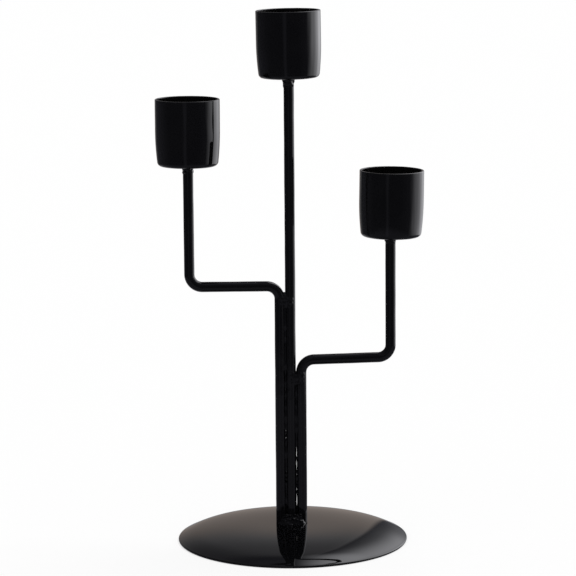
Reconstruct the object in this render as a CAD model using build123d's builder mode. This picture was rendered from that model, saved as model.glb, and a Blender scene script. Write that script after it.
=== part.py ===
# Three-arm candelabra: three candle cups on round wire rods, welded to a domed round base.
# Millimetres, +Z up. The origin is the centre of the base, on the surface it stands on.
# The arms lie in the XZ plane: the tall arm towards -X, the short arm towards +X.

import os
from math import asin, degrees

from build123d import *

os.makedirs("parts", exist_ok=True)

# Base: a disc pressed from sheet, with a nearly flat crown and a rounder shoulder
base_diameter = 90.0
base_sheet = 1.0
base_height = 5.85
base_edge_height = 0.6        # top corner of the sheared edge above the table
crown_arc_radius = 470.0
shoulder_start_radius = 31.0

# Rods: the stem and both arms are the same wire, side by side at the foot
rod_diameter = 4.0
rod_gap = 0.12
bend_radius = 5.0             # to the centreline of the wire
arm_reach = 39.1              # from the stem's axis to each outer cup's axis
left_run_height = 101.0       # centreline of the level stretch of each arm
right_run_height = 72.0

# Cups: drawn sheet, a plain bore that holds a 22 mm candle and then a narrower foot
cup_bore = 23.4
cup_wall = 0.8
cup_height = 25.8
cup_bore_depth = 12.0
cup_side_radius = 110.0
cup_corner_radius = 1.7
cup_lip_radius = 0.3
top_rim_height = 208.0
left_rim_height = 174.3
right_rim_height = 146.0

# Welds
foot_weld_leg = 1.5           # how far the bead stands out in front of and behind the rods
foot_weld_height = 4.2
foot_weld_crest = 0.25        # what is left of the leg at the top of the bead
foot_weld_inset = 0.15        # how far inside the sides of the row the bead ends
arm_weld_radius = 2.15
arm_weld_step = 0.9           # from one puddle of the bead to the next
arm_weld_puddles = 3
left_weld_drop = 4.5          # from the level run down to the first puddle
right_weld_drop = 7.0
cup_weld_leg = 1.1            # how far a bead spreads over the floor of its cup
cup_weld_height = 2.6         # how far it runs down its rod
top_cup_weld_leg = 1.5
top_cup_weld_height = 3.4
cup_weld_hollow = 2.0         # radius of a bead's hollow face, in heights of the bead

# Sizes that follow from the ones above
rod_radius = rod_diameter / 2
rod_pitch = rod_diameter + rod_gap
cup_radius = cup_bore / 2 + cup_wall
rod_start_height = base_height - base_sheet / 2


def save(piece, name):
    """Give a finished piece its name and write its file."""
    piece.part.label = name
    export_step(piece.part, f"parts/{name}.step")


def cup_floor_height(rim_height):
    """Height of the underside of a cup, where its rod ends."""
    return rim_height - cup_height


# Base plate
# The crown arc and the shoulder arc are tangent; the underside lies one sheet below them,
# and the sheared edge is trimmed level where it meets the table.
with BuildPart() as base_plate:
    with BuildSketch(Plane.XZ):
        with BuildLine():
            crown = CenterArc(
                center=(0, base_height - crown_arc_radius),
                radius=crown_arc_radius,
                start_angle=90,
                arc_size=-degrees(asin(shoulder_start_radius / crown_arc_radius)),
            )
            TangentArc(crown @ 1, (base_diameter / 2, base_edge_height), tangent=crown % 1)
            offset(amount=base_sheet, side=Side.RIGHT)
        make_face()
        with Locations((base_diameter / 2, 0)):
            Rectangle(base_diameter, base_sheet, align=(Align.CENTER, Align.MAX), mode=Mode.SUBTRACT)
    revolve(axis=Axis.Z)
save(base_plate, "base_plate")


# Centre stem
with BuildPart() as centre_stem:
    with BuildSketch(Plane.XY.offset(rod_start_height)):
        Circle(rod_radius)
    extrude(amount=cup_floor_height(top_rim_height) - rod_start_height)
    add(base_plate.part, mode=Mode.SUBTRACT)
save(centre_stem, "centre_stem")


# Arms
def bent_arm(side, run_height, rim_height):
    """One rod: up beside the stem, out along a level run and up again to its cup."""
    with BuildPart() as arm:
        with BuildLine(Plane.XZ) as route:
            FilletPolyline(
                (side * rod_pitch, rod_start_height),
                (side * rod_pitch, run_height),
                (side * arm_reach, run_height),
                (side * arm_reach, cup_floor_height(rim_height)),
                radius=bend_radius,
            )
        with BuildSketch(Plane(origin=route.line @ 0, z_dir=route.line % 0)):
            Circle(rod_radius)
        sweep()
        add(base_plate.part, mode=Mode.SUBTRACT)
    return arm


left_arm = bent_arm(-1, left_run_height, left_rim_height)
save(left_arm, "left_arm")

right_arm = bent_arm(1, right_run_height, right_rim_height)
save(right_arm, "right_arm")


# Candle cups
def candle_cup(x, rim_height):
    """Turned shell, open at the top: straight bore, gently drawn-in foot, flat floor."""
    floor = cup_floor_height(rim_height)
    foot_depth = cup_height - cup_bore_depth
    with BuildPart() as cup:
        with BuildSketch(Plane(origin=(x, 0, floor), x_dir=(1, 0, 0), z_dir=(0, -1, 0))) as half:
            with BuildLine():
                side = CenterArc(
                    center=(cup_radius - cup_side_radius, foot_depth),
                    radius=cup_side_radius,
                    start_angle=0,
                    arc_size=-degrees(asin(foot_depth / cup_side_radius)),
                )
                Polyline(side @ 1, (0, 0), (0, cup_height), (cup_radius, cup_height), side @ 0)
            make_face()
            fillet(half.vertices().group_by(Axis.Y)[0].sort_by(Axis.X)[-1], cup_corner_radius)
        revolve(axis=Axis((x, 0, 0), (0, 0, 1)))
        offset(amount=-cup_wall, openings=cup.faces().sort_by(Axis.Z)[-1])
        fillet(cup.edges().group_by(Axis.Z)[-1], cup_lip_radius)
    return cup


top_cup = candle_cup(0, top_rim_height)
save(top_cup, "top_cup")

left_cup = candle_cup(-arm_reach, left_rim_height)
save(left_cup, "left_cup")

right_cup = candle_cup(arm_reach, right_rim_height)
save(right_cup, "right_cup")


# Foot weld
# The bead stands out in front of and behind the row of rods and ends just short of its sides.
with BuildPart() as base_weld:
    bead_length = 2 * (rod_pitch - foot_weld_leg - foot_weld_inset)
    with BuildSketch(Plane.XY.offset(rod_start_height)):
        SlotCenterToCenter(bead_length, 2 * (rod_radius + foot_weld_leg))
    with BuildSketch(Plane.XY.offset(base_height + foot_weld_height)):
        SlotCenterToCenter(bead_length, 2 * (rod_radius + foot_weld_crest))
    loft()
    for neighbour in (base_plate, centre_stem, left_arm, right_arm):
        add(neighbour.part, mode=Mode.SUBTRACT)
save(base_weld, "base_weld")


# Arm welds
def groove_weld(side, first_height, arm):
    """A short row of weld puddles that fills the groove between an arm and the stem."""
    puddles = [
        (side * rod_pitch / 2, 0, first_height - arm_weld_step * puddle)
        for puddle in range(arm_weld_puddles)
    ]
    with BuildPart() as weld:
        with Locations(puddles):
            Sphere(arm_weld_radius)
        add(centre_stem.part, mode=Mode.SUBTRACT)
        add(arm.part, mode=Mode.SUBTRACT)
    return weld


left_arm_weld = groove_weld(-1, left_run_height - left_weld_drop, left_arm)
save(left_arm_weld, "left_arm_weld")

right_arm_weld = groove_weld(1, right_run_height - right_weld_drop, right_arm)
save(right_arm_weld, "right_arm_weld")


# Cup welds
def cup_weld(x, rim_height, leg, height):
    """A hollow-faced bead round the end of a rod, against the floor of its cup."""
    with BuildPart() as weld:
        floor = cup_floor_height(rim_height)
        with BuildSketch(Plane(origin=(x, 0, floor), x_dir=(1, 0, 0), z_dir=(0, -1, 0))):
            with BuildLine():
                Polyline((rod_radius, -height), (rod_radius, 0), (rod_radius + leg, 0))
                RadiusArc((rod_radius + leg, 0), (rod_radius, -height), -cup_weld_hollow * height)
            make_face()
        revolve(axis=Axis((x, 0, 0), (0, 0, 1)))
    return weld


top_cup_weld = cup_weld(0, top_rim_height, top_cup_weld_leg, top_cup_weld_height)
save(top_cup_weld, "top_cup_weld")

left_cup_weld = cup_weld(-arm_reach, left_rim_height, cup_weld_leg, cup_weld_height)
save(left_cup_weld, "left_cup_weld")

right_cup_weld = cup_weld(arm_reach, right_rim_height, cup_weld_leg, cup_weld_height)
save(right_cup_weld, "right_cup_weld")
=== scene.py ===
import math

import bpy
import numpy as np
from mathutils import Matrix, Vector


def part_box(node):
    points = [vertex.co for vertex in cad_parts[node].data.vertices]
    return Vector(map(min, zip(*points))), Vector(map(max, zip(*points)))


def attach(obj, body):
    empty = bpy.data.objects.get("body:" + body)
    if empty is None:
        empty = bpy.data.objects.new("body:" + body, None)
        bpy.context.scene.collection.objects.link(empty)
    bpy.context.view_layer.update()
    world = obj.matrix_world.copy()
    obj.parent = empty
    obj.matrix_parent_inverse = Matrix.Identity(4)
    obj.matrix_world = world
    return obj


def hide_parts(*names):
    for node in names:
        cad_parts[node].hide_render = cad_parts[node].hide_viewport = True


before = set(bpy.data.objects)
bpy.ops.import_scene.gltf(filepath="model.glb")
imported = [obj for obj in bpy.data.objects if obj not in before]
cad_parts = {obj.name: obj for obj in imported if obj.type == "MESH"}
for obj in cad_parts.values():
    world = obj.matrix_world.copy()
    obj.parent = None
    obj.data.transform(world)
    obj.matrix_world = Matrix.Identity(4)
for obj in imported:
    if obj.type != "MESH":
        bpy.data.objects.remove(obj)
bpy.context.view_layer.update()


# Base plate
# A 90 mm round of 1 mm steel sheet, pressed to a gentle crown whose rim turns down to the table. It is
# dipped in gloss black enamel, which rounds the sheared edge and lies on the steel like glass.

mm = 0.001
plate_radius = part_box("base_plate")[1].x
plate_sheet = 1.0 * mm
plate_edge_height = 0.75 * mm
crown_fall = 19.9
crown_power = 2.3
rim_fall = 7.2
rim_start, rim_end = 35.4 * mm, 43.3 * mm
plate_shift = 0.35 * mm
plate_edge_round = 0.6 * mm
plate_edge_build = 0.18 * mm
plate_edge_thin_and_sheen_reach = 0.25 * mm
plate_foot_round = 0.15 * mm
plate_dent, plate_dent_length = 0.006 * mm, 34 * mm
plate_points_around = 400
# Rows of points from one radius to the next, closer together towards the rim, and how many they are
plate_rows = ((0.4 * mm, 30 * mm, 42), (30.3 * mm, plate_radius, 60))

enamel_black = (0.0024, 0.0024, 0.0028, 1)
enamel_thick = (0.0018, 0.0018, 0.0022, 1)
# The lighter brownish grey is thin enamel on edges and lips, and also a painted highlight there and a painted
# reflection inside the cups.
thin_enamel_and_sheen = (0.0060, 0.0052, 0.0048, 1)
enamel_index = 1.5
thin_roughness = 0.3
pool_length = 11 * mm
smear_length = 4.5 * mm


class Shade:
    """One socket of a node tree. Arithmetic on it adds Math nodes, and node() adds any other."""

    def __init__(self, tree, socket=None):
        self.tree = tree
        self.socket = socket

    def node(self, kind, settings, inputs, output=0):
        """Adds a node: first its settings, then each input as a plain value or a link. Gives an output."""
        made = self.tree.nodes.new(kind)
        for name, value in settings.items():
            setattr(made, name, value)
        for name, value in inputs.items():
            if isinstance(value, Shade):
                self.tree.links.new(value.socket, made.inputs[name])
            else:
                made.inputs[name].default_value = value
        return Shade(self.tree, made.outputs[output])

    def beside(self, output):
        """Another output of the same node."""
        return Shade(self.tree, self.socket.node.outputs[output])

    def math(self, operation, first, second=0.0):
        return self.node("ShaderNodeMath", {"operation": operation}, {0: first, 1: second})

    def __add__(self, other):
        return self.math("ADD", self, other)

    def __sub__(self, other):
        return self.math("SUBTRACT", self, other)

    def __mul__(self, other):
        return self.math("MULTIPLY", self, other)

    def __radd__(self, other):
        return self.math("ADD", other, self)

    def __rsub__(self, other):
        return self.math("SUBTRACT", other, self)

    def __rmul__(self, other):
        return self.math("MULTIPLY", other, self)

    def rise(self, low, high):
        """Climbs smoothly from 0 where this value is low to 1 where it is high."""
        settings = {"interpolation_type": "SMOOTHSTEP"}
        return self.node("ShaderNodeMapRange", settings, {0: self, 1: low, 2: high, 3: 0.0, 4: 1.0})

    def noise(self, place, length, detail=2.0):
        """Soft noise from 0 to 1 whose patches are about that length across."""
        inputs = {"Vector": place, "Scale": 1 / length, "Detail": detail, "Roughness": 0.5}
        return self.node("ShaderNodeTexNoise", {}, inputs)

    def blend(self, share, first, second):
        """A colour from first to second by share."""
        return self.node("ShaderNodeMix", {"data_type": "RGBA"}, {0: share, 6: first, 7: second}, 2)


def enamel(name, peel_length, peel_height, roughness):
    """Dipped gloss enamel. It pools to a deeper black in soft patches, and turns a duller, lighter brownish
    grey where the piece's own attribute says: partly enamel that drained away, partly a painted highlight and
    painted reflection. It has orange peel that long and high."""
    coat = bpy.data.materials.new(name)
    coat.use_nodes = True
    shader = coat.node_tree.nodes["Principled BSDF"]
    start = Shade(coat.node_tree)
    place = start.node("ShaderNodeTexCoord", {}, {}, "Object")
    thin_and_sheen = start.node("ShaderNodeAttribute", {"attribute_name": "thin_and_sheen"}, {}, "Fac")
    pool = start.noise(place, pool_length).rise(0.35, 0.7)
    smear = start.noise(place, smear_length, 3.0)
    # The piece's attribute blends in the lighter brownish grey: partly thin enamel, partly a painted
    # highlight and painted reflection.
    colour = start.blend(thin_and_sheen, start.blend(pool, enamel_black, enamel_thick), thin_enamel_and_sheen)
    dulled = roughness * (0.7 + 0.6 * smear) + thin_and_sheen * (thin_roughness - roughness)
    peel = start.noise(place, peel_length, 1.0)
    bump = start.node("ShaderNodeBump", {}, {"Strength": 1.0, "Distance": peel_height, "Height": peel})
    coat.node_tree.links.new(colour.socket, shader.inputs["Base Color"])
    coat.node_tree.links.new(dulled.socket, shader.inputs["Roughness"])
    coat.node_tree.links.new(bump.socket, shader.inputs["Normal"])
    shader.inputs["IOR"].default_value = enamel_index
    return coat


def fasten(piece, coat, *nodes):
    """Gives a finished piece its coat, lets it ride on the candelabra and stand for those CAD nodes."""
    piece.data.materials.append(coat)
    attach(piece, "root")
    if nodes:
        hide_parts(*nodes)


def arc(centre, radius, start, end, count):
    """A stretch of a circle in a profile's plane: centre + radius (cos a, sin a), a from start to end."""
    angle = np.linspace(start, end, count)[:, None]
    return np.asarray(centre) + radius * np.concatenate([np.cos(angle), np.sin(angle)], axis=1)


def rounded(before, corner, after, reach, count=9):
    """A corner as a parabola that leaves both sides that reach away: (1-t)^2 A + 2t(1-t) C + t^2 B."""
    before, corner, after = np.asarray(before), np.asarray(corner), np.asarray(after)
    first = corner + reach * (before - corner) / np.linalg.norm(before - corner)
    last = corner + reach * (after - corner) / np.linalg.norm(after - corner)
    t = np.linspace(0, 1, count)[:, None]
    return (1 - t) ** 2 * first + 2 * t * (1 - t) * corner + t**2 * last


def turned(profile, x, count):
    """A profile of radius and height turned about an upright axis at x: (x + r cos a, r sin a, z)."""
    angle = np.linspace(0, 2 * math.pi, count, endpoint=False)
    radius, height = profile[:, :1], profile[:, 1:]
    return np.stack([x + radius * np.cos(angle), radius * np.sin(angle), height + 0 * angle], axis=-1)


def waves(points, length, seed, count=24):
    """Unevenness: a sum of plane waves near that length in random directions, whose usual size is 1."""
    draw = np.random.default_rng(seed)
    direction = draw.normal(size=(3, count))
    direction /= np.linalg.norm(direction, axis=0)
    number = 2 * math.pi / (length * draw.uniform(0.7, 1.4, count))
    phase = draw.uniform(0, 2 * math.pi, count)
    return np.cos(points @ (direction * number) + phase).sum(axis=-1) * math.sqrt(2 / count)


def swollen(rings, height):
    """Moves each point along its normal, the cross product of the steps round the ring and across it."""
    around = np.roll(rings, -1, axis=1) - np.roll(rings, 1, axis=1)
    normal = np.cross(around, np.gradient(rings, axis=0))
    normal /= np.maximum(np.linalg.norm(normal, axis=-1, keepdims=True), 1e-12)
    return rings + normal * height[..., None]


def closed_skin(name, rings, thin_and_sheen=None):
    """A closed mesh over rows of points. Each row closes on itself, neighbouring rows are joined by quads,
    and the first and last rows by a fan to their mean. The optional mask gives one number for each row, from
    0 to 1, for thin enamel, painted highlight and painted reflection, and is kept as a point attribute."""
    rows, count = rings.shape[:2]
    here = np.arange(rows * count).reshape(rows, count)
    beside = np.roll(here, -1, axis=1)
    quads = np.stack([here[:-1], beside[:-1], beside[1:], here[1:]], axis=-1).reshape(-1, 4)
    first_fan = np.stack([beside[0], here[0], np.full(count, rows * count)], axis=-1)
    last_fan = np.stack([here[-1], beside[-1], np.full(count, rows * count + 1)], axis=-1)
    points = np.concatenate([rings.reshape(-1, 3), rings[[0, -1]].mean(axis=1)])
    mesh = bpy.data.meshes.new(name)
    mesh.from_pydata(points.tolist(), [], quads.tolist() + first_fan.tolist() + last_fan.tolist())
    mesh.shade_smooth()
    if thin_and_sheen is not None:
        values = np.append(np.repeat(thin_and_sheen, count), [thin_and_sheen[0], thin_and_sheen[-1]]).astype(np.float32)
        mesh.attributes.new("thin_and_sheen", "FLOAT", "POINT").data.foreach_set("value", values)
    piece = bpy.data.objects.new(name, mesh)
    bpy.context.scene.collection.objects.link(piece)
    return piece


def climbing(value, low, high):
    """0 where the value is low to 1 where it is high, by t^2 (3 - 2t)."""
    t = np.clip((value - low) / (high - low), 0, 1)
    return t * t * (3 - 2 * t)


# The top slopes by f (r / R)^p degrees, and by a little more from the start of its rim to the end. The
# slope is summed inwards from the edge to give its height, and the underside lies one sheet below it.
plate_r = np.concatenate([np.linspace(start, end, count) for start, end, count in plate_rows])
fall = crown_fall * (plate_r / plate_radius) ** crown_power + rim_fall * climbing(plate_r, rim_start, rim_end)
fall = np.radians(fall)
drop = np.diff(plate_r) * (np.tan(fall[1:]) + np.tan(fall[:-1])) / 2
plate_z = plate_edge_height + np.append(np.cumsum(drop[::-1])[::-1], 0)
plate_top = np.stack([plate_r, plate_z], axis=1)
plate_under = plate_top - plate_sheet * np.stack([np.sin(fall), np.cos(fall)], axis=1)
plate_under = plate_under[plate_under[:, 1] > 0]
crown_height = plate_z[0]

# The sheared edge stands square to the sheet, and the plate rests on a narrow land that is trimmed level.
edge_top = plate_top[-1] + [plate_edge_build, 0]
land_inner = plate_under[-1] + plate_under[-1, 1] * np.array([1 / math.tan(fall[-1]), -1])
land_outer = edge_top - edge_top[1] * np.array([math.tan(fall[-1]), 1])
plate_top = plate_top[plate_r < plate_radius - plate_edge_round]
plate_profile = np.concatenate([
    plate_under[:-1],
    rounded(plate_under[-2], land_inner, land_outer, plate_foot_round),
    rounded(land_inner, land_outer, edge_top, plate_foot_round),
    rounded(land_outer, edge_top, plate_top[-1], plate_edge_round, 15),
    plate_top[::-1],
])
plate_rings = turned(plate_profile, plate_shift, plate_points_around)
# Long shallow dents are left from the press, and fade towards the rim.
dented = 1 - np.minimum(plate_profile[:, :1] / plate_radius, 1) ** 4
plate_rings[..., 2] += plate_dent * dented * waves(plate_rings * [1, 1, 0], plate_dent_length, 3)
# The plate's sheared edge takes the lighter brownish grey: partly thin enamel, partly a painted highlight
# along the rim.
plate_thin_and_sheen = np.exp(-np.linalg.norm(plate_profile - edge_top, axis=1) / plate_edge_thin_and_sheen_reach)
plate = closed_skin("enamelled_plate", plate_rings, plate_thin_and_sheen)
fasten(plate, enamel("plate_enamel", 2.4 * mm, 0.003 * mm, 0.02), "base_plate")


# Rods
# Three lengths of 4 mm steel wire stand side by side on the crown. The middle one is the stem, and the
# outer two are bent out to a level run and up again. The enamel on them runs a little thick and thin.

stem_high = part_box("centre_stem")[1]
left_arm_low, left_arm_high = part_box("left_arm")
right_arm_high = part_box("right_arm")[1]
rod_radius = stem_high.x
rod_pitch = rod_radius - left_arm_high.x
bend_radius = 5.0 * mm
left_run_height = 101 * mm
right_run_height = 72 * mm
right_run_drop, right_run_lift = 0.3 * mm, 0.5 * mm
rod_foot_sink = 0.5 * mm
rod_top_sink = 0.2 * mm
rod_foot = crown_height - rod_foot_sink
rod_swell, rod_swell_length = 0.012 * mm, 13 * mm
rod_ripple, rod_ripple_length = 0.004 * mm, 4 * mm
rod_step = 0.6 * mm
rod_points_around = 56
bend_rows = 24


def wire_line(corners):
    """Centre line of a bent wire in the plane y = 0: straight stretches and an arc at each corner, which
    leaves both of them r tan(half the turn) from it. Gives its points and its unit tangents."""
    points, tangents = [], []
    corners = np.array(corners, float)
    steps = np.diff(corners, axis=0)
    ways = steps / np.linalg.norm(steps, axis=1, keepdims=True)
    start = corners[0]
    for corner, ahead, after in zip(corners[1:], ways, [*ways[1:], None]):
        if after is None:
            end = corner
        else:
            bend = math.acos(ahead @ after)
            end = corner - bend_radius * math.tan(bend / 2) * ahead
        share = np.linspace(0, 1, 2 + int(np.linalg.norm(end - start) / rod_step))[1:-1, None]
        points.append(start + share * (end - start))
        tangents.append(np.tile(ahead, (len(share), 1)))
        if after is not None:
            inward = (after - math.cos(bend) * ahead) / math.sin(bend)
            turn = np.linspace(0, bend, bend_rows)[:, None]
            points.append(end + bend_radius * (np.sin(turn) * ahead + (1 - np.cos(turn)) * inward))
            tangents.append(np.cos(turn) * ahead + np.sin(turn) * inward)
            start = corner + bend_radius * math.tan(bend / 2) * after
    return np.concatenate(points), np.concatenate(tangents)


def enamelled_wire(name, corners, seed):
    """A round wire along its centre line: c + r (cos a u + sin a v), with v along y and u across the line.
    The coat swells and thins by a few hundredths of a millimetre."""
    centre, tangent = wire_line(corners)
    angle = np.linspace(0, 2 * math.pi, rod_points_around, endpoint=False)[None, :, None]
    across = np.stack([tangent[:, 1], 0 * tangent[:, 0], -tangent[:, 0]], axis=-1)[:, None]
    middle = np.stack([centre[:, 0], 0 * centre[:, 0], centre[:, 1]], axis=-1)[:, None]
    rings = middle + rod_radius * (np.cos(angle) * across + np.sin(angle) * np.array([0, 1, 0]))
    coat = rod_swell * waves(rings, rod_swell_length, seed)
    coat = coat + rod_ripple * waves(rings, rod_ripple_length, seed + 1)
    return closed_skin(name, swollen(rings, coat))


rod_enamel = enamel("rod_enamel", 1.9 * mm, 0.006 * mm, 0.05)
left_cup_x = left_arm_low.x + rod_radius
right_cup_x = right_arm_high.x - rod_radius

stem = enamelled_wire("stem_rod", [(0, rod_foot), (0, stem_high.z + rod_top_sink)], 11)
fasten(stem, rod_enamel, "centre_stem")

# The right arm's bends are a little less than square, so its level run climbs outwards.
left_run = (left_run_height, left_run_height)
right_run = (right_run_height - right_run_drop, right_run_height + right_run_lift)
for side, node, cup_x, run, top, seed in (
    (-1, "left_arm", left_cup_x, left_run, left_arm_high.z, 21),
    (1, "right_arm", right_cup_x, right_run, right_arm_high.z, 31),
):
    foot_x = side * rod_pitch
    corners = [(foot_x, rod_foot), (foot_x, run[0]), (cup_x, run[1]), (cup_x, top + rod_top_sink)]
    fasten(enamelled_wire(node + "_rod", corners, seed), rod_enamel, node)


# Candle cups
# Three cups drawn from steel sheet: a straight bore that takes a 22 mm candle, a side that draws in gently
# below it, a small corner, a flat floor and a rounded lip. The lip is a lighter brownish grey, partly thin
# enamel and partly a painted highlight, and the inside is that colour as a painted reflection. The coat
# drained down the sides in faint upright streaks.

cup_wall = 0.8 * mm
cup_bore_depth = 12 * mm
cup_side_arc = 110 * mm
cup_corner = 1.7 * mm
cup_lip_round = 0.3 * mm
cup_hub = 0.5 * mm
cup_points_around = 288
cup_swell, cup_swell_length = 0.006 * mm, 16 * mm
cup_ripple, cup_ripple_length = 0.0018 * mm, 4 * mm
cup_streak, cup_streak_length = 0.005 * mm, 1.6 * mm
streak_stretch = np.array([1, 1, 0.12])
# How much of the lighter brownish grey the lip takes, as thin enamel and painted highlight, over what reach,
# and how much the inside takes as painted reflection.
lip_thin_and_sheen, lip_thin_and_sheen_reach = 0.15, 0.2 * mm
inside_painted_reflection = 0.35
cup_enamel = enamel("cup_enamel", 2.2 * mm, 0.004 * mm, 0.04)


def cup_profile(radius, height):
    """Section of a cup from the middle of its underside, up the outside, over the lip and down the bore.
    Outside and inside share the centres of their arcs, one wall apart."""
    side_centre = np.array([radius - cup_side_arc, height - cup_bore_depth])
    reach = math.sqrt((cup_side_arc - cup_corner) ** 2 - (side_centre[1] - cup_corner) ** 2)
    corner_centre = np.array([side_centre[0] + reach, cup_corner])
    fall = math.atan2(corner_centre[1] - side_centre[1], reach)
    lip_outer = (radius - cup_lip_round, height - cup_lip_round)
    lip_inner = (radius - cup_wall + cup_lip_round, height - cup_lip_round)
    inner_corner = cup_corner - cup_wall
    across = np.linspace(cup_hub, corner_centre[0], 12)[:-1, None]
    up = np.linspace(side_centre[1], lip_outer[1], 22)[1:-1, None]
    return np.concatenate([
        np.concatenate([across, 0 * across], axis=1),
        arc(corner_centre, cup_corner, -math.pi / 2, fall, 22),
        arc(side_centre, cup_side_arc, fall, 0, 24)[1:],
        np.concatenate([radius + 0 * up, up], axis=1),
        arc(lip_outer, cup_lip_round, 0, math.pi / 2, 10),
        arc(lip_inner, cup_lip_round, math.pi / 2, math.pi, 10),
        np.concatenate([radius - cup_wall + 0 * up, up[::-1]], axis=1),
        arc(side_centre, cup_side_arc - cup_wall, 0, fall, 24),
        arc(corner_centre, inner_corner, fall, -math.pi / 2, 14)[1:],
        np.concatenate([across[::-1], cup_wall + 0 * across], axis=1),
    ])


def leaning(rings, x, foot, lean):
    """Turns points by a lean in degrees towards +x about the foot of a cup, in the plane of the arms: a
    across and b up become a cos + b sin across and b cos - a sin up."""
    cosine, sine = math.cos(math.radians(lean)), math.sin(math.radians(lean))
    across, up = rings[..., 0] - x, rings[..., 2] - foot
    leant_x = x + cosine * across + sine * up
    leant_z = foot + cosine * up - sine * across
    return np.stack([leant_x, rings[..., 1], leant_z], axis=-1)


# The cups were set by hand before welding, so each leans and stands aside a little.
cup_lean = {"top_cup": -0.7, "left_cup": 0.1, "right_cup": 0.9}
cup_shift = {"top_cup": 0.2 * mm, "left_cup": 0, "right_cup": 0.15 * mm}
for node, seed in (("top_cup", 41), ("left_cup", 51), ("right_cup", 61)):
    low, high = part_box(node)
    profile = cup_profile((high.x - low.x) / 2, high.z - low.z)
    x = (low.x + high.x) / 2 + cup_shift[node]
    rings = turned(profile + [0, low.z], x, cup_points_around)
    coat = cup_swell * waves(rings, cup_swell_length, seed)
    coat = coat + cup_ripple * waves(rings * streak_stretch, cup_ripple_length, seed + 1)
    coat = coat + cup_streak * waves(rings * streak_stretch, cup_streak_length, seed + 2)
    rings = leaning(swollen(rings, coat), x, low.z, cup_lean[node])
    # The lip's lighter colour is thin enamel and a painted highlight; inside the cup it is a painted
    # reflection.
    lip = lip_thin_and_sheen * np.exp(-(high.z - low.z - profile[:, 1]) / lip_thin_and_sheen_reach)
    inside = np.arange(len(profile)) > np.argmax(profile[:, 1])
    thin_and_sheen = np.maximum(lip, inside_painted_reflection * inside)
    fasten(closed_skin(node + "_shell", rings, thin_and_sheen), cup_enamel, node)


# Foot weld
# A short lumpy bead runs round the row of rods and joins them to the crown. It was not dressed before
# dipping, so its nuggets and spatter stand out under the enamel and glitter.

foot_weld_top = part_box("base_weld")[1].z
foot_leg = 1.5 * mm
foot_crest = 0.25 * mm
foot_hollow = 1.3
foot_cap = 0.4 * mm
foot_half_length = rod_pitch - foot_leg
foot_sink = 0.1 * mm
foot_lump, foot_lump_length = 0.10 * mm, 2.6 * mm
foot_pimple, foot_pimple_length = 0.04 * mm, 1.1 * mm
foot_bead_rows = 90
spatter_start, spatter_end = 7.2 * mm, 8.4 * mm
nugget_count = 150
nugget_small, nugget_large = 0.22 * mm, 0.75 * mm
weld_enamel = enamel("weld_enamel", 0.9 * mm, 0.012 * mm, 0.07)

# The bead's section is a slot: each point lies one width from a centre line along x, at an angle from it.
# The width shrinks by (1 - climb)^p up the rods, and the last rows draw in to close it.
arc_share = np.linspace(-math.pi / 2, math.pi / 2, 90)
straight_share = np.linspace(1, -1, 92)[1:-1]
flat_side = 0 * straight_share + math.pi / 2
slot_angle = np.concatenate([arc_share, flat_side, arc_share + math.pi, -flat_side])
slot_shift = np.concatenate([0 * arc_share + 1, straight_share, 0 * arc_share - 1, -straight_share])
climb = np.linspace(0, 1, foot_bead_rows)[:, None]
close = np.linspace(0, 1, 12)[1:, None]
bead_width = np.concatenate([
    rod_radius + foot_crest + (foot_leg - foot_crest) * (1 - climb) ** foot_hollow,
    (rod_radius + foot_crest) * (1 - 0.9 * close**2),
])
bead_height = np.concatenate([
    rod_foot + (foot_weld_top - rod_foot) * climb,
    foot_weld_top + foot_cap * close,
])
foot_rings = np.stack([
    foot_half_length * slot_shift + bead_width * np.cos(slot_angle),
    bead_width * np.sin(slot_angle),
    bead_height + 0 * slot_angle,
], axis=-1)


def nuggets(points, seed):
    """Frozen drops on a weld: the highest of many spheres of random size whose centres lie on its surface,
    each sqrt(r^2 - d^2) high at distance d, sunk by a third of r."""
    draw = np.random.default_rng(seed)
    flat = points.reshape(-1, 3)
    centre = flat[draw.integers(0, len(flat), nugget_count)]
    radius = nugget_small + (nugget_large - nugget_small) * draw.uniform(size=nugget_count) ** 2.5
    height = np.zeros(len(flat))
    for middle, reach in zip(centre, radius):
        distance = ((flat - middle) ** 2).sum(axis=1)
        height = np.maximum(height, np.sqrt(np.maximum(reach**2 - distance, 0)) - reach / 3)
    return height.reshape(points.shape[:-1])


# The toe flowed out smooth on the hot plate, and the drops froze above it.
spatter = 0.08 + 0.72 * climbing(foot_rings[..., 2], spatter_start, spatter_end)
lumps = foot_lump * waves(foot_rings, foot_lump_length, 71)
lumps = lumps + foot_pimple * waves(foot_rings, foot_pimple_length, 73) + spatter * nuggets(foot_rings, 72)
foot_bead = closed_skin("foot_weld_bead", swollen(foot_rings, lumps - foot_sink))
fasten(foot_bead, weld_enamel, "base_weld")


# Arm welds
# Where each arm leaves the stem, weld fills the groove between them level with the rods, front and back,
# and a thin smear of it droops over both rods. Dipping has smoothed its edges.

smear_thick = 0.16 * mm
smear_sink = 0.12 * mm
smear_edge = 0.7 * mm
smear_fade = 1.5 * mm
smear_side_start, smear_side_end = 1.2 * mm, 0.4 * mm
droop_middle = 1.5 * mm
droop_left, droop_right = 0.9, 0.8
fill_blend = 0.25 * mm
fill_sink = 0.05 * mm
fill_crest = 2.2 * mm
fill_tail, fill_tail_end = 1.5 * mm, 2.0 * mm
arm_weld_rows, arm_weld_columns = 110, 90
arm_lump, arm_lump_length = 0.05 * mm, 1.9 * mm
arm_pimple, arm_pimple_length = 0.012 * mm, 0.8 * mm

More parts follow.
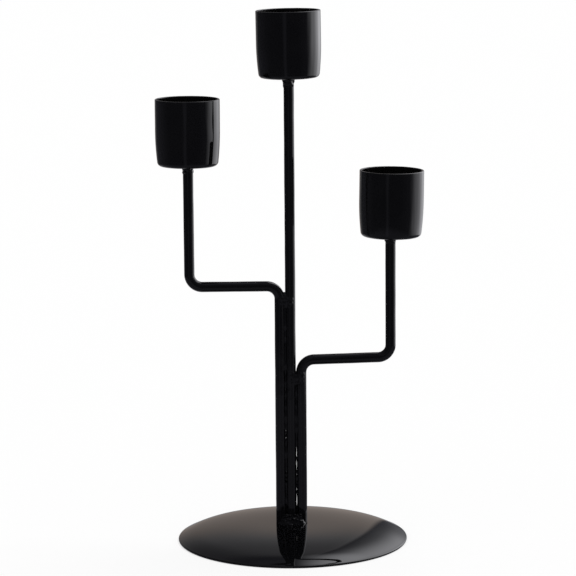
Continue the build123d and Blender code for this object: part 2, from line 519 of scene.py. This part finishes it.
for side, node, run_height, smear_low, seed in (
    (-1, "left_arm_weld", left_run_height, 92.2 * mm, 81),
    (1, "right_arm_weld", right_run_height, 61.6 * mm, 91),
):
    low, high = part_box(node)
    bend_start = run_height - bend_radius
    down = np.linspace(0, 1, arm_weld_rows)[:, None] ** 1.3
    height = high.z - (high.z - low.z + fill_tail) * down
    reach = rod_pitch / 2 + 0.97 * rod_radius
    u = reach * np.sin(np.linspace(-math.pi / 2, math.pi / 2, arm_weld_columns))
    # The arm's centre line moves away from the stem above the start of its bend, along its arc.
    rise = np.clip(height - bend_start, 0, 0.9 * bend_radius)
    away = bend_radius - np.sqrt(bend_radius**2 - rise**2)
    off = np.abs(u) - rod_pitch / 2 - away * (side * u > 0)
    # The smear's lower edge is a V that hangs down in the middle, and it ends short of the rods' sides.
    droop = np.where(u < droop_middle, droop_left * (droop_middle - u), droop_right * (u - droop_middle))
    smear = climbing(height, smear_low + droop, smear_low + droop + smear_edge)
    smear = smear * (1 - climbing(height, bend_start, bend_start + smear_fade))
    smear = smear * (1 - climbing(np.abs(u), reach - smear_side_start, reach - smear_side_end))
    radius = rod_radius - smear_sink + (smear_sink + smear_thick) * smear
    rod_front = np.sqrt(np.maximum(radius**2 - off**2, 0))
    # The fill between the rods is level with their fronts, rounded at its crest and fading down its tail.
    level = (rod_radius - fill_sink) * np.sqrt(np.clip((high.z - height) / fill_crest, 0, 1))
    level = level * (0.3 + 0.7 * climbing(height, low.z - fill_tail, low.z + fill_tail_end))
    level = level * (1 - climbing(np.abs(u), rod_pitch / 2, rod_pitch / 2 + 0.5 * rod_radius))
    # The front is the higher of the two, with the step between them smoothed over.
    half = (rod_front + level + np.sqrt((rod_front - level) ** 2 + fill_blend**2 * (level > 0))) / 2
    rings = np.stack([
        np.tile(side * rod_pitch / 2 + np.concatenate([u, u[::-1]]), (len(height), 1)),
        np.concatenate([-half, half[:, ::-1]], axis=1),
        np.tile(height, (1, 2 * len(u))),
    ], axis=-1)
    lumps = arm_lump * waves(rings, arm_lump_length, seed)
    lumps = lumps + arm_pimple * waves(rings, arm_pimple_length, seed + 1)
    fasten(closed_skin(node + "_bead", swollen(rings, lumps)), weld_enamel, node)


# Cup welds
# A hollow bead runs round the end of each rod under its cup and a few millimetres down it. It is lumpy
# where the puddles froze, and the top one is heavier on the left, where the weld was started.

cup_bead_points_around = 96
cup_bead_swing = 0.12
cup_lump, cup_lump_length = 0.09 * mm, 1.7 * mm
cup_pimple, cup_pimple_length = 0.02 * mm, 0.6 * mm
cup_spatter = 0.45
# Section of a bead, in legs out from the rod and in runs up to the cup's floor: out of the rod, up the
# hollow face to the floor, and back inside the floor.
bead_profile = np.concatenate([
    [(-0.4, -1.08), (-0.15, -1.04)],
    rounded((0, -1), (0.04, -0.1), (1, 0), 0.95, 30),
    [(0.8, 0.06), (-0.5, 0.06)],
])
for node, cup_node, leg, run, lean, seed in (
    ("top_cup_weld", "top_cup", 1.5 * mm, 3.4 * mm, 0.45, 101),
    ("left_cup_weld", "left_cup", 1.1 * mm, 2.6 * mm, 0.1, 111),
    ("right_cup_weld", "right_cup", 1.1 * mm, 2.6 * mm, 0.1, 121),
):
    low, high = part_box(cup_node)
    x = (low.x + high.x) / 2
    angle = np.linspace(0, 2 * math.pi, cup_bead_points_around, endpoint=False)
    size = (1 - lean * np.cos(angle)) * (1 + cup_bead_swing * np.sin(3 * angle + seed))
    radius = rod_radius + bead_profile[:, :1] * leg * size
    rings = np.stack([
        x + radius * np.cos(angle),
        radius * np.sin(angle),
        low.z + bead_profile[:, 1:] * run * (0.8 + 0.2 * size),
    ], axis=-1)
    lumps = cup_lump * waves(rings, cup_lump_length, seed)
    lumps = lumps + cup_pimple * waves(rings, cup_pimple_length, seed + 1)
    lumps = lumps + cup_spatter * nuggets(rings, seed + 2)
    fasten(closed_skin(node + "_bead", swollen(rings, lumps)), weld_enamel, node)


# Enamel in the grooves
# The rods all but touch, and the dip bridged the gap between them. The film clings to each rod as a ridge,
# and where the two ridges do not quite meet, light shows through a pointed slit.

ridge_embed = 0.06 * mm
ridge_depth = 1.15 * mm
ridge_shrink = 0.65
ridge_swell, ridge_swell_length = 0.12, 6 * mm
ridge_dip = 0.2
ridge_overlap = 0.06
ridge_columns = 11
ridge_seed = 131
film_foot, film_step = 9.0, 0.12
slit_power = 0.8


def ridge(rod_side, groove_x, height, opening):
    """The film on one side of a groove. At a share s of the half gap, from the opening's edge to the rod, its
    front and back are at y = m (1 - dip (1 - s^2)), and m is less beside an opening."""
    line = np.stack([0 * height, 0 * height, height], axis=-1)
    half = ridge_depth * (1 - ridge_shrink * np.clip(opening * 3, 0, 1))
    half = half * (1 + ridge_swell * waves(line, ridge_swell_length, ridge_seed))
    gap = rod_pitch / 2 - np.sqrt(rod_radius**2 - half**2) + ridge_embed
    edge = np.where(opening > 0, opening * (rod_pitch / 2 - rod_radius) / gap, -ridge_overlap)[:, None]
    s = edge + (1 - edge) * np.linspace(0, 1, ridge_columns)
    sweep = np.concatenate([s, s[:, ::-1]], axis=1)
    face = np.repeat([-1, 1], ridge_columns)
    x = groove_x + rod_side * gap[:, None] * sweep
    y = rod_side * face * half[:, None] * (1 - ridge_dip * (1 - sweep**2))
    return np.stack([x, y, height[:, None] + 0 * sweep], axis=-1)


# Each slit runs from its low to its high end, in millimetres above the table, and is widest, by that share
# of the gap, that far up.
left_slits = (
    (22.9, 23.7, 0.3, 0.5), (24.5, 25.1, 0.3, 0.5), (26.4, 27.0, 0.35, 0.5), (40.1, 41.1, 0.55, 0.5),
    (41.8, 42.4, 0.35, 0.5), (43.0, 44.1, 0.45, 0.5), (58.7, 59.2, 0.3, 0.5), (59.6, 60.4, 0.3, 0.5),
)
right_slits = (
    (12.9, 18.5, 1.3, 0.35), (19.0, 20.9, 0.6, 0.4), (21.7, 22.1, 0.3, 0.5), (22.9, 23.4, 0.35, 0.5),
    (25.3, 26.2, 0.4, 0.5), (27.1, 32.1, 0.9, 0.6), (32.8, 37.6, 0.95, 0.15),
)
for groove_x, name, slits, film_top in (
    (-rod_pitch / 2, "left_groove_enamel", left_slits, 94),
    (rod_pitch / 2, "right_groove_enamel", right_slits, 62.5),
):
    height = np.arange(film_foot, film_top, film_step) * mm
    opening = 0 * height
    for low, high, share, widest in slits:
        t = np.clip((height / mm - low) / (high - low), 0, 1)
        opening = opening + share * np.minimum(t / widest, (1 - t) / (1 - widest)) ** slit_power
    sides = [closed_skin(name, ridge(rod_side, groove_x, height, opening)) for rod_side in (-1, 1)]
    with bpy.context.temp_override(active_object=sides[0], selected_editable_objects=sides):
        bpy.ops.object.join()
    fasten(sides[0], rod_enamel)


# Floor, studio and camera
# A plain pale floor and sky with a soft key from behind on the right. The studio tent is seen by the
# gloss alone: a dim room, a warm grey backdrop behind the object and one big soft box at its right.

scene = bpy.context.scene
picture_side = 576
focal_pixels = 2749.6
camera_distance = 1054.3 * mm
camera_height = 278.6 * mm
camera_pitch = math.radians(9.603)
camera_turn = math.radians(1.5)
camera_roll = math.radians(0.416)
camera_aside = -0.818 * mm

ahead = np.array([math.sin(camera_turn), math.cos(camera_turn), 0])
right = np.array([ahead[1], -ahead[0], 0])
up = np.array([0, 0, 1])
view_ahead = math.cos(camera_pitch) * ahead - math.sin(camera_pitch) * up
view_up = math.sin(camera_pitch) * ahead + math.cos(camera_pitch) * up
rolled_right = math.cos(camera_roll) * right - math.sin(camera_roll) * view_up
rolled_up = math.sin(camera_roll) * right + math.cos(camera_roll) * view_up
stand = camera_height * up - camera_distance * ahead + camera_aside * right

camera = bpy.data.objects.new("camera", bpy.data.cameras.new("camera"))
camera.data.lens = camera.data.sensor_width * focal_pixels / picture_side
camera.data.clip_start = 0.05
camera.data.clip_end = 50
camera.matrix_world = np.column_stack([
    np.append(rolled_right, 0), np.append(rolled_up, 0), np.append(-view_ahead, 0), np.append(stand, 1),
]).T.tolist()
scene.collection.objects.link(camera)
scene.camera = camera

floor_hub, floor_radius, floor_depth = 0.02, 12.0, 0.05
floor_lift = 0.65
sky_level = 0.62
key_level = 1.41
stage_points_around = 96
floor_profile = np.array([
    (floor_hub, -floor_depth), (floor_radius, -floor_depth), (floor_radius, 0), (floor_hub, 0),
])
floor = closed_skin("floor", turned(floor_profile, 0, stage_points_around))
floor.data.shade_flat()
floor_paint = bpy.data.materials.new("floor_paint")
floor_paint.use_nodes = True
floor_shader = floor_paint.node_tree.nodes["Principled BSDF"]
floor_shader.inputs["Base Color"].default_value = (0.99, 0.99, 0.99, 1)
floor_shader.inputs["Roughness"].default_value = 1.0
floor_shader.inputs["Specular IOR Level"].default_value = 0.0
# The camera sees the floor lifted part of the way to white, under the object's shadow too.
floor_start = Shade(floor_paint.node_tree)
seen = floor_start.node("ShaderNodeLightPath", {}, {}, "Is Camera Ray")
white = floor_start.node("ShaderNodeEmission", {}, {"Strength": 1.0})
plain = Shade(floor_paint.node_tree, floor_shader.outputs[0])
lifted = floor_start.node("ShaderNodeMixShader", {}, {0: floor_lift * seen, 1: plain, 2: white})
floor_output = floor_paint.node_tree.nodes["Material Output"]
floor_paint.node_tree.links.new(lifted.socket, floor_output.inputs["Surface"])
floor.data.materials.append(floor_paint)
floor.visible_glossy = False

# The sky is white to the eye and in gloss, and lights the object at a plainer level.
sky = bpy.data.worlds.new("sky")
sky.use_nodes = True
scene.world = sky
sky_start = Shade(sky.node_tree)
eye = sky_start.node("ShaderNodeLightPath", {}, {}, "Is Camera Ray")
gloss_or_glass = eye.math("MAXIMUM", eye.beside("Is Glossy Ray"), eye.beside("Is Transmission Ray"))
shown = eye.math("MAXIMUM", eye, gloss_or_glass)
background = sky.node_tree.nodes["Background"]
background.inputs["Color"].default_value = (1, 1, 1, 1)
sky.node_tree.links.new((sky_level + (1 - sky_level) * shown).socket, background.inputs["Strength"])
sky.cycles.sampling_method = "NONE"

key = bpy.data.objects.new("key", bpy.data.lights.new("key", "SUN"))
key.data.energy = key_level
key.data.angle = math.radians(50)
key.rotation_euler = (math.radians(-24), math.radians(22), 0)
key.visible_glossy = False
scene.collection.objects.link(key)

tent_middle = (0, 0, 0.1)
tent_radius = 0.5
tent_rows = 50
turn = np.linspace(0, math.pi, tent_rows)[1:-1, None]
tent_section = np.concatenate([np.sin(turn), -np.cos(turn)], axis=1)
tent_profile = np.array([0, tent_middle[2]]) + tent_radius * tent_section
tent = closed_skin("studio_tent", turned(tent_profile, 0, stage_points_around))
tent_light = bpy.data.materials.new("tent_light")
tent_light.use_nodes = True
tent_light.node_tree.nodes.clear()
start = Shade(tent_light.node_tree)
place = start.node("ShaderNodeTexCoord", {}, {}, "Object")
aim = start.node("ShaderNodeVectorMath", {"operation": "SUBTRACT"}, {0: place, 1: tent_middle})
aim = start.node("ShaderNodeVectorMath", {"operation": "NORMALIZE"}, {0: aim})
aim_x = start.node("ShaderNodeSeparateXYZ", {}, {0: aim}, "X")
aim_z = aim_x.beside("Z")
azimuth = start.math("ARCTAN2", aim_x, aim_x.beside("Y")) * math.degrees(1)
elevation = start.math("ARCSINE", aim_z) * math.degrees(1)

# Each light in the tent is a product of soft edges. Azimuth runs from behind the object to its right,
# elevation from level up, and both are in degrees.
box_level, backdrop_level, backdrop_fade, table_behind_level = 2.45, 0.32, 0.15, 0.35
strip_level, wall_level, table_level, room_level = 0.08, 0.03, 0.08, 0.045
box_left = azimuth + 9 * elevation.rise(37, 50)
box = box_left.rise(8.3, 47.5) * (1 - 0.33 * azimuth.rise(55, 85)) * (1 - azimuth.rise(84, 115))
box = box * (0.6 + 0.4 * elevation.rise(-4, 10)) * elevation.rise(-19, -11) * (1 - elevation.rise(64, 86))
behind = azimuth.rise(-48, -34) * azimuth.rise(-65, 8) * (1 - azimuth.rise(10.7, 12.2))
behind = behind * elevation.rise(-20, -12) * (1 - elevation.rise(40, 57))
grey = behind * (backdrop_level - backdrop_fade * elevation.rise(-1, 29))
tint = behind * azimuth.rise(-28, -12) * (1 - elevation.rise(2, 18))
table_behind = azimuth.rise(-60, -40) * (1 - azimuth.rise(14, 40)) * (1 - elevation.rise(-26, -12))
strip = azimuth.rise(-176, -168) * (1 - azimuth.rise(-167, -156)) * elevation.rise(-30, -15)
right_wall = azimuth.rise(80, 110) * (1 - azimuth.rise(110, 150))
left_wall = azimuth.rise(-115, -80) * (1 - azimuth.rise(-55, -40)) * (1 - elevation.rise(0, 12))
table = 1 - elevation.rise(-17.5, -13.5)
overhead = 0.035 * elevation.rise(15, 45) + 0.06 * elevation.rise(50, 64) + 0.2 * elevation.rise(72, 88)
room = room_level + strip_level * strip + wall_level * (right_wall + left_wall)
room = room + table_level * table + overhead
light = start.node("ShaderNodeVectorMath", {"operation": "SCALE"}, {0: (0.97, 0.97, 1.15), "Scale": room})
for colour, part in (
    ((1.02, 1.0, 1.0), grey),
    ((0.05, 0.0, -0.04), tint),
    ((1.0, 1.0, 1.0), table_behind_level * table_behind),
    ((0.99, 0.99, 1.03), box_level * box),
):
    added = start.node("ShaderNodeVectorMath", {"operation": "SCALE"}, {0: colour, "Scale": part})
    light = start.node("ShaderNodeVectorMath", {"operation": "ADD"}, {0: light, 1: added})
glow = start.node("ShaderNodeEmission", {}, {"Color": light, "Strength": 1.0})
output = tent_light.node_tree.nodes.new("ShaderNodeOutputMaterial")
tent_light.node_tree.links.new(glow.socket, output.inputs["Surface"])
tent_light.cycles.emission_sampling = "NONE"
tent.data.materials.append(tent_light)
tent.visible_camera = False
tent.visible_diffuse = False
tent.visible_transmission = False
tent.visible_volume_scatter = False
tent.visible_shadow = False

scene.view_settings.view_transform = "Standard"
